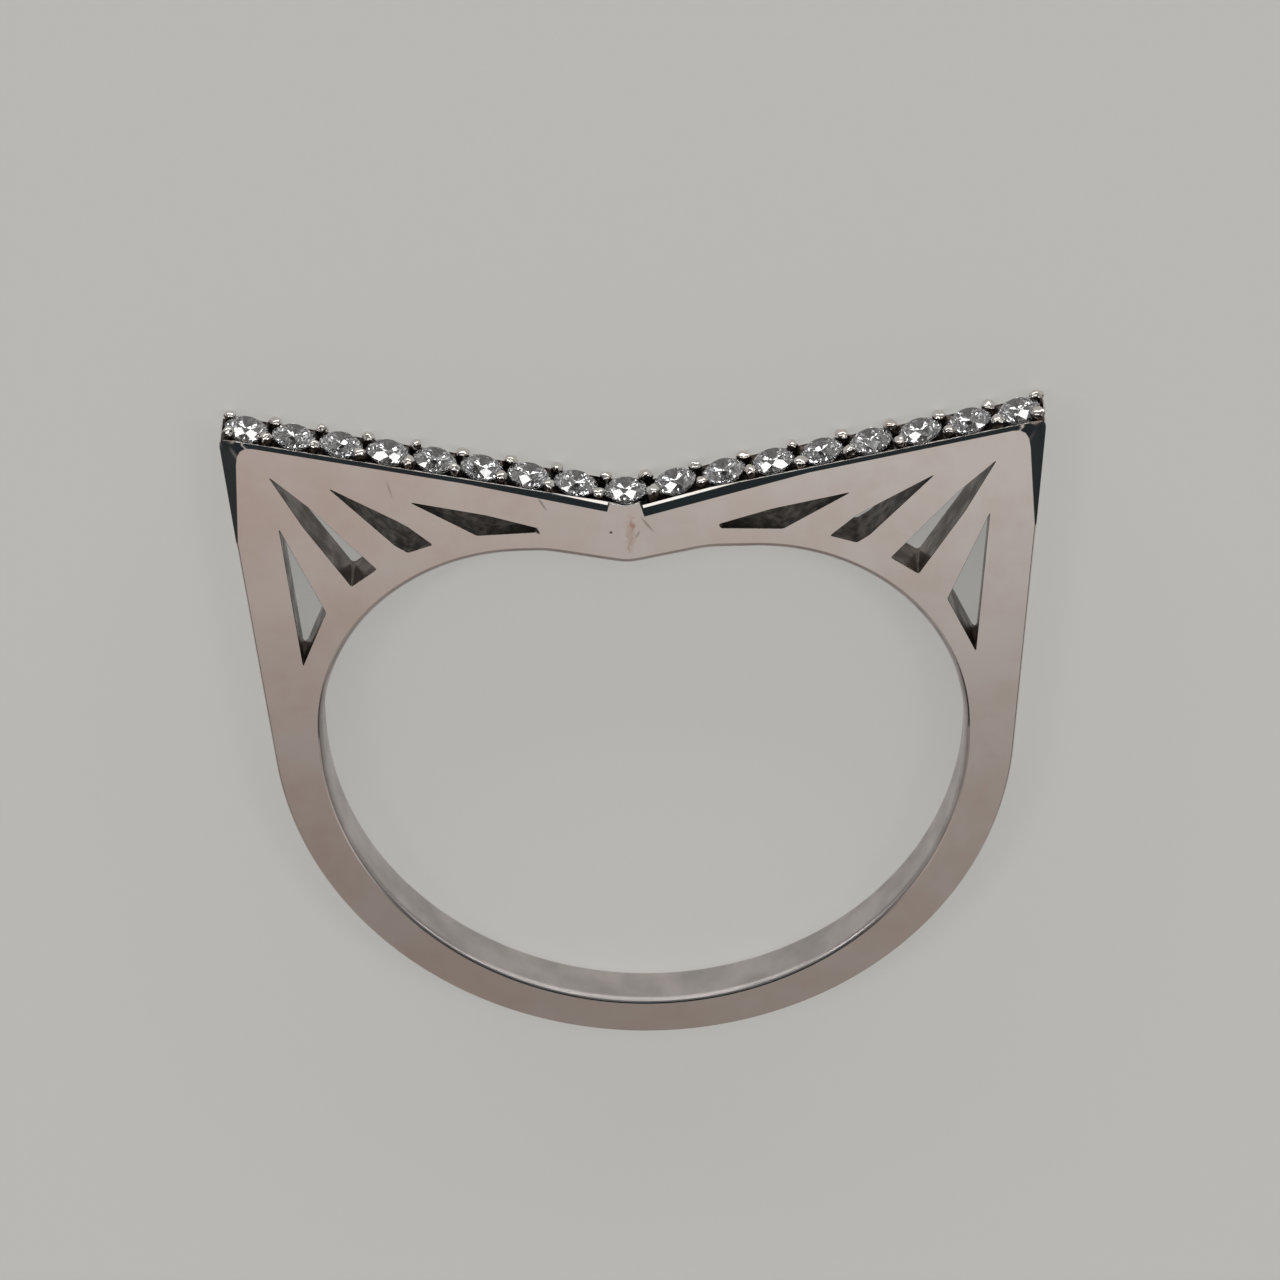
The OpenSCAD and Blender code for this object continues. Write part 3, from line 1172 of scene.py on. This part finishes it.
    def channel_tool(self, arm: Arm) -> Piece:
        """Cutter for the channel between the two rails of an arm.

        Args:
            arm: The arm.

        Returns:
            The tool.
        """
        form = self.form
        length, half_w = form.run(arm) + 2 * self.overrun, form.mid_z - form.rail_w
        low, high = -form.channel_depth, self.overrun
        outline = [(low, -half_w), (high, -half_w), (high, half_w), (low, half_w)]
        place = form.on_arm(arm, form.run(arm) / 2) @ Matrix.Translation((-length / 2, 0.0, 0.0))
        return prism("graver", outline, length, place @ ALONG_ARM)

    def bead_pattern(self) -> Piece:
        """One bead with its stem, raised from the metal and burnished round.

        Returns:
            The bead, standing along Z with the middle of its ball at the origin.
        """
        clear_selection()
        bpy.ops.mesh.primitive_uv_sphere_add(segments=24, ring_count=16, radius=self.form.bead_d / 2)
        bead = bpy.context.object
        edit_some(bead, Parts.CORNERS, lambda corner: corner.co.z < -self.stem_start * self.form.bead_d)
        bpy.ops.transform.translate(value=(0.0, 0.0, -self.stem))
        flare = (self.stem_flare, self.stem_flare, 1.0)
        bpy.ops.transform.resize(value=flare, center_override=(0.0, 0.0, 0.0))
        bpy.ops.object.mode_set(mode="OBJECT")
        return bead

    def beads(self) -> Piece:
        """All the beads: a staggered pair in each gap, and a pair outside the last stone of each arm.

        Their caps are burnished bright, and their undersides take the darker finish as painted shade.

        Returns:
            The beads as one object.
        """
        form, hand = self.form, random.Random(7)
        places = []
        for arm in Arm:
            gaps = [form.first_stone_x / 2]
            gaps += [form.stone_run(arm, k) + form.pitch(arm) / 2 for k in range(form.arm_stones - 1)]
            spots = [(gap + side.value * form.bead_stagger, side) for gap in gaps for side in Side]
            spots += [(form.run(arm) - form.end_bead_x, side) for side in Side]
            for run, side in spots:
                drift = hand.uniform(-self.bead_drift, self.bead_drift)
                place = form.on_arm(arm, run + drift, form.bead_lift, side.value * form.bead_side)
                place = place @ Matrix.Rotation(hand.uniform(-self.bead_lean, self.bead_lean), 4, "Z")
                tip = hand.uniform(-self.bead_tip, self.bead_tip)
                place = place @ Matrix.Rotation(tip - math.pi / 2, 4, "X")
                sizes = [hand.uniform(*self.bead_size) for _ in range(3)]
                places.append(place @ Matrix.Diagonal(sizes).to_4x4())
        beads = copies(self.bead_pattern(), places)
        # The graver leaves each bead lumpy
        for vertex in beads.data.vertices:
            vertex.co += vertex.normal * noise.noise(vertex.co / self.lump_size) * self.lump_depth
        wear(beads, self.polished)
        # Faces that turn away from the stones' side get the darker finish: painted shade under each bead
        beads.data.materials.append(self.drilled_and_shaded)
        for face in beads.data.polygons:
            face.material_index = int(face.normal.y < self.bead_shade_y)
        return beads

    def seat_pattern(self) -> Piece:
        """The room that one stone needs: a cone below, a short wall at the girdle and a cone above.

        Returns:
            The cutter, with the stone's axis along Z and its girdle at the origin.
        """
        form = self.form
        wall_r = form.stone_d / 2 + form.seat_gap
        wall_h = self.girdle_part * form.stone_d + 2 * form.seat_gap
        depth = self.pavilion_part * form.stone_d
        clear_selection()
        bpy.ops.mesh.primitive_cylinder_add(vertices=64, radius=wall_r, depth=wall_h)
        seat = bpy.context.object
        table_r = self.table_part * form.stone_d / 2 + 2 * form.seat_gap
        for up, rise, end_r in ((1, self.crown_part * form.stone_d, table_r), (-1, depth, self.seat_floor_r)):
            edit_some(seat, Parts.FACES, lambda face, up=up: face.normal.z * up > self.end_z)
            bpy.ops.mesh.extrude_region_move(TRANSFORM_OT_translate={"value": (0.0, 0.0, up * rise)})
            narrow = (end_r / wall_r, end_r / wall_r, 1.0)
            bpy.ops.transform.resize(value=narrow, center_override=(0.0, 0.0, 0.0))
            bpy.ops.object.mode_set(mode="OBJECT")
        face_outwards(seat)
        return seat

    def seats(self) -> Piece:
        """The room for every stone.

        Returns:
            The cutters as one object.
        """
        form = self.form
        upright = Matrix.Rotation(-math.pi / 2, 4, "X")
        places = [Matrix.Translation((form.apex_x, form.middle_girdle_y, form.mid_z)) @ upright]
        for arm in Arm:
            for k in range(form.arm_stones):
                places.append(form.on_arm(arm, form.stone_run(arm, k), form.girdle_lift) @ upright)
        return copies(self.seat_pattern(), places)

    def smooth(self, band: Piece) -> None:
        """Merges doubles, smooths the curved faces and keeps the flats flat.

        A facet keeps sharp edges, at angles at which the narrow strips of a rounded rim join smoothly.

        Args:
            band: The finished band.
        """
        edit_all(band)
        bpy.ops.mesh.remove_doubles(threshold=self.merge)
        bpy.ops.mesh.dissolve_degenerate(threshold=self.merge)
        bpy.ops.object.mode_set(mode="OBJECT")
        bpy.ops.object.shade_smooth_by_angle(angle=self.smooth_angle, keep_sharp_edges=False)
        mesh = bmesh.new()
        mesh.from_mesh(band.data)
        for edge in mesh.edges:
            if len(edge.link_faces) != 2:
                continue
            one, other = (abs(face.normal.z) > self.flat_z for face in edge.link_faces)
            widths = [2 * face.calc_area() / face.calc_perimeter() for face in edge.link_faces]
            between_facets = self.facet_angle if min(widths) > self.strip_w else math.pi
            if edge.calc_face_angle() > (self.sharp_angle if one != other else between_facets):
                edge.smooth = False
        mesh.to_mesh(band.data)
        mesh.free()
        modifier = band.modifiers.new("flats", "WEIGHTED_NORMAL")
        modifier.keep_sharp = True
        modifier.weight = self.flat_weight
        bpy.ops.object.modifier_apply(modifier=modifier.name)

    def build(self) -> Piece:
        """Makes the band at its real size, dresses it and puts it in place of its solid.

        Returns:
            The band.
        """
        band = self.plate()
        # The channels' floors take the darker finish: painted shade under the stones and beads
        for arm in Arm:
            combine(band, self.leave(self.channel_tool(arm), self.drilled_and_shaded, self.channel_wall_z), Join.CUT)
        for facet in self.form.facets:
            for side in Side:
                combine(band, self.leave(self.file(facet, side)), Join.CUT)
        combine(band, self.beads(), Join.SOLDER)
        # The seats take the darker finish: painted shade under the stones
        seats = self.seats()
        wear(seats, self.drilled_and_shaded)
        combine(band, seats, Join.CUT)
        self.smooth(band)
        band.name = "band_of_white_gold"
        band.scale = (MM, MM, MM)
        take_up(band)
        bpy.ops.object.transform_apply(location=True, rotation=True, scale=True)
        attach(band, BODY)
        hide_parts("ring_band")
        LOG.info("%s: %d faces", band.name, len(band.data.polygons))
        return band


@dataclass
class StoneRow:
    """The row of round brilliants, which keep the facets of their solids."""

    finish: PolishedDiamond
    slot: str = "clear_stone"

    def dress(self) -> list[Piece]:
        """Gives every stone its material.

        Returns:
            The stones in order along the row.
        """
        material = self.finish.material()
        stones = [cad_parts[name] for name in sorted(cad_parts) if name.startswith("stone_")]
        for stone in stones:
            wear(stone, material)
        LOG.info("stones: %d dressed", len(stones))
        return stones


@dataclass(frozen=True)
class Card:
    """One lit or dark card of the tent, as the ring sees it.

    A window gives the parts of the direction from the ring, along one axis, between which the card is seen:
    where it starts to fade in, is full, starts to fade out, and is gone.

    Attributes:
        colour: Radiance, linear.
        x: Window across, or none if the card goes all the way.
        y: Window towards the stones, or none.
        z: Window upwards, or none.
    """

    colour: Colour
    x: Window | None = None
    y: Window | None = None
    z: Window | None = None

    def windows(self) -> dict[str, Window]:
        """The windows that the card has, by their axes."""
        return {axis: window for axis, window in zip("XYZ", (self.x, self.y, self.z)) if window}

    def mirrored(self) -> "Card":
        """The same card on the other side, left for right."""
        return replace(self, x=tuple(-end for end in self.x[::-1]))


@dataclass
class Studio:
    """Pale floor, a tent of dim walls, soft boxes and small lamps, and the camera.

    The camera looks down on the ring from the side of the stones.
    """

    floor_side: float = 2.0
    floor_drop: float = 0.00001
    # The camera: how far it is, how steeply it looks down, its turn and its roll, all from the photograph
    distance: float = 0.220
    steepness: float = 58.0
    turn: float = 1.80
    roll: float = 2.27
    lens_mm: float = 225.2
    # Pixel of a 1280 frame where the middle of the finger hole falls on the upper face, and pixels per metre
    hole_pixel: Point = (643.8, 735.3)
    frame_px: float = 1280.0
    px_per_m: float = 36400.0
    clip: Point = (0.01, 10.0)
    roof: Colour = (0.018, 0.024, 0.028)

    def camera_axes(self) -> tuple[Vector, Vector, Vector]:
        """Axes of the camera: to its right, up, and back towards it.

        Returns:
            The three axes.
        """
        low, turn, roll = (math.radians(a) for a in (90 - self.steepness, self.turn, self.roll))
        back = Vector((math.sin(turn) * math.cos(low), math.sin(low), math.cos(turn) * math.cos(low)))
        level = Vector((0.0, 1.0, 0.0)).cross(back).normalized()
        upright = back.cross(level)
        right = math.cos(roll) * level - math.sin(roll) * upright
        return right, math.sin(roll) * level + math.cos(roll) * upright, back

    def camera(self) -> Piece:
        """Makes the scene's camera.

        Returns:
            The camera.
        """
        right, up, back = self.camera_axes()
        hole_middle = Vector((0.0, 0.0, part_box("ring_band")[1].z))
        aside, below = ((c - self.frame_px / 2) / self.px_per_m for c in self.hole_pixel)
        target = hole_middle - aside * right + below * up
        data = bpy.data.cameras.new("camera")
        data.lens = self.lens_mm
        data.clip_start, data.clip_end = self.clip
        camera = bpy.data.objects.new("camera", data)
        bpy.context.collection.objects.link(camera)
        camera.matrix_world = Matrix((right, up, back)).transposed().to_4x4()
        camera.location = target + self.distance * back
        bpy.context.scene.camera = camera
        return camera

    def floor(self) -> Piece:
        """Lays the pale floor that the ring rests on.

        Returns:
            The floor.
        """
        clear_selection()
        height = CAD_BOX[0].z - self.floor_drop
        bpy.ops.mesh.primitive_plane_add(size=self.floor_side, location=(0.0, 0.0, height))
        floor = bpy.context.object
        floor.name = "floor"
        wear(floor, MatteCard().material())
        return floor

    def cards(self) -> list[Card]:
        """The tent's cards.

        Returns:
            The cards, each over the ones before it.
        """
        wall = Card((0.25, 0.24, 0.235), x=(0.6, 0.7, *OPEN_ABOVE), z=(*OPEN_BELOW, 0.7, 0.8))
        flag = Card(self.roof, x=(0.2, 0.26, 0.56, 0.62), y=(-0.68, -0.62, -0.44, -0.38),
                    z=(0.62, 0.68, 0.84, 0.88))
        lamp = Card((9.0, 9.0, 8.8), x=(0.55, 0.57, 0.67, 0.69), y=(0.21, 0.23, 0.33, 0.35),
                    z=(0.0, 0.1, *OPEN_ABOVE))
        return [
            # Wall behind the stones, dimmer above about 20 degrees
            Card((0.1, 0.1, 0.1), y=(-0.45, 0.05, *OPEN_ABOVE), z=(*OPEN_BELOW, 0.68, 0.74)),
            Card((0.13, 0.13, 0.13), y=(-0.45, 0.05, *OPEN_ABOVE), z=(*OPEN_BELOW, 0.2, 0.35)),
            # Grey card behind the stones that the upper face mirrors when it is seen from the shank's side
            Card((0.32, 0.304, 0.292), x=(-0.5, -0.4, 0.4, 0.5), y=(0.45, 0.5, *OPEN_ABOVE),
                 z=(0.34, 0.4, 0.62, 0.68)),
            # Grey walls to the right, to the left and in front
            wall,
            wall.mirrored(),
            Card((0.36, 0.34, 0.325), y=(*OPEN_BELOW, -0.1, 0.1), z=(*OPEN_BELOW, 0.8, 0.86)),
            # Black flags that the two corner facets mirror
            flag,
            flag.mirrored(),
            # Bright strip low behind the stones, which gives them hard sparks
            Card((5.4, 5.4, 5.3), x=(-0.75, -0.65, 0.65, 0.75), y=(0.3, 0.4, *OPEN_ABOVE),
                 z=(0.04, 0.06, 0.19, 0.21)),
            # Two small lamps, to the right and to the left, that light up in the beads
            lamp,
            lamp.mirrored(),
            # Dim wall in front that the shank mirrors, dimmer on the left
            Card((0.28, 0.242, 0.22), x=(-0.27, -0.17, 0.17, 0.27), y=(*OPEN_BELOW, -0.3, 0.0),
                 z=(*OPEN_BELOW, 0.86, 0.9)),
            Card((0.235, 0.2, 0.182), x=(-0.27, -0.17, -0.09, 0.0), y=(*OPEN_BELOW, -0.3, 0.0),
                 z=(*OPEN_BELOW, 0.86, 0.9)),
            # Pale card that the upper face mirrors, fading out for the shank's low end, rosier on the left
            Card((0.676, 0.639, 0.618), x=(-0.27, -0.1, 0.1, 0.22), y=(*OPEN_BELOW, -0.1, 0.0),
                 z=(0.832, 0.868, 0.885, 0.9)),
            Card((0.51, 0.42, 0.386), x=(-0.27, -0.15, -0.09, 0.0), y=(*OPEN_BELOW, -0.1, 0.0),
                 z=(0.832, 0.868, 0.885, 0.9)),
            # Soft box over the camera
            Card((1.2, 1.2, 1.18), x=(-0.45, -0.4, 0.45, 0.5), y=(0.36, 0.38, 0.68, 0.7),
                 z=(0.0, 0.1, *OPEN_ABOVE)),
            # Small soft box straight overhead
            Card((0.6, 0.57, 0.55), x=(-0.08, -0.06, 0.06, 0.08), y=(-0.06, -0.04, 0.04, 0.06),
                 z=(0.0, 0.1, *OPEN_ABOVE)),
        ]

    def share(self, tree: Tree, parts: bpy.types.Node, card: Card) -> Socket:
        """How much of a card is seen in a direction.

        Args:
            tree: The world's node tree.
            parts: The node with X, Y and Z of the direction.
            card: The card.

        Returns:
            A value from 0 to 1.
        """
        sides = []
        for axis, (start, full, fade, end) in card.windows().items():
            for low, high in ((start, full), (end, fade)):
                fade_in = {"interpolation_type": "SMOOTHSTEP", 1: low, 2: high}
                side = add_node(tree, "ShaderNodeMapRange", fade_in, {0: parts.outputs[axis]})
                sides.append(side.outputs[0])
        return gathered(tree, Gather.PRODUCT, sides)

    def sky(self) -> None:
        """Lights the scene with a tent: a dark roof, and the cards laid over it one after another."""
        world = bpy.data.worlds.new("tent")
        bpy.context.scene.world = world
        world.use_nodes = True
        tree = world.node_tree
        tree.nodes.clear()
        way = add_node(tree, "ShaderNodeTexCoord").outputs["Generated"]
        parts = add_node(tree, "ShaderNodeSeparateXYZ", links={0: way})
        light = add_node(tree, "ShaderNodeRGB").outputs[0]
        light.default_value = (*self.roof, 1.0)
        for card in self.cards():
            light = add_node(tree, "ShaderNodeMix", {"data_type": "RGBA", 7: (*card.colour, 1.0)},
                             {0: self.share(tree, parts, card), 6: light}).outputs[2]
        shader = add_node(tree, "ShaderNodeBackground", links={"Color": light})
        add_node(tree, "ShaderNodeOutputWorld", links={"Surface": shader.outputs[0]})

    def light_paths(self) -> None:
        """Lets light bounce long enough inside the stones, and keeps colours as they are."""
        scene = bpy.context.scene
        scene.cycles.max_bounces = 24
        scene.cycles.glossy_bounces = 16
        scene.cycles.transmission_bounces = 24
        scene.view_settings.view_transform = "Standard"

    def build(self) -> None:
        """Sets up camera, floor and light."""
        self.camera()
        self.floor()
        self.sky()
        self.light_paths()
        LOG.info("studio: ready")


def main() -> None:
    """Builds the ring piece by piece, and then the studio round it."""
    # The darker finish, with more painted shade, for the channels, seats, inner slots and the beads' undersides
    drilled_and_shaded = SawnShadedWhiteGold(name="white_gold_drilled_shaded", tones=("#6c645e", "#3b3530"), mottle_mm=0.25)
    metals = [metal.material() for metal in (PolishedWhiteGold(), SawnShadedWhiteGold(), drilled_and_shaded, WornShadedWhiteGold())]
    RingBand(RingForm(), *metals).build()
    StoneRow(PolishedDiamond()).dress()
    Studio().build()


if __name__ == "__main__":
    logging.basicConfig(level=logging.INFO, format="%(message)s")
    main()
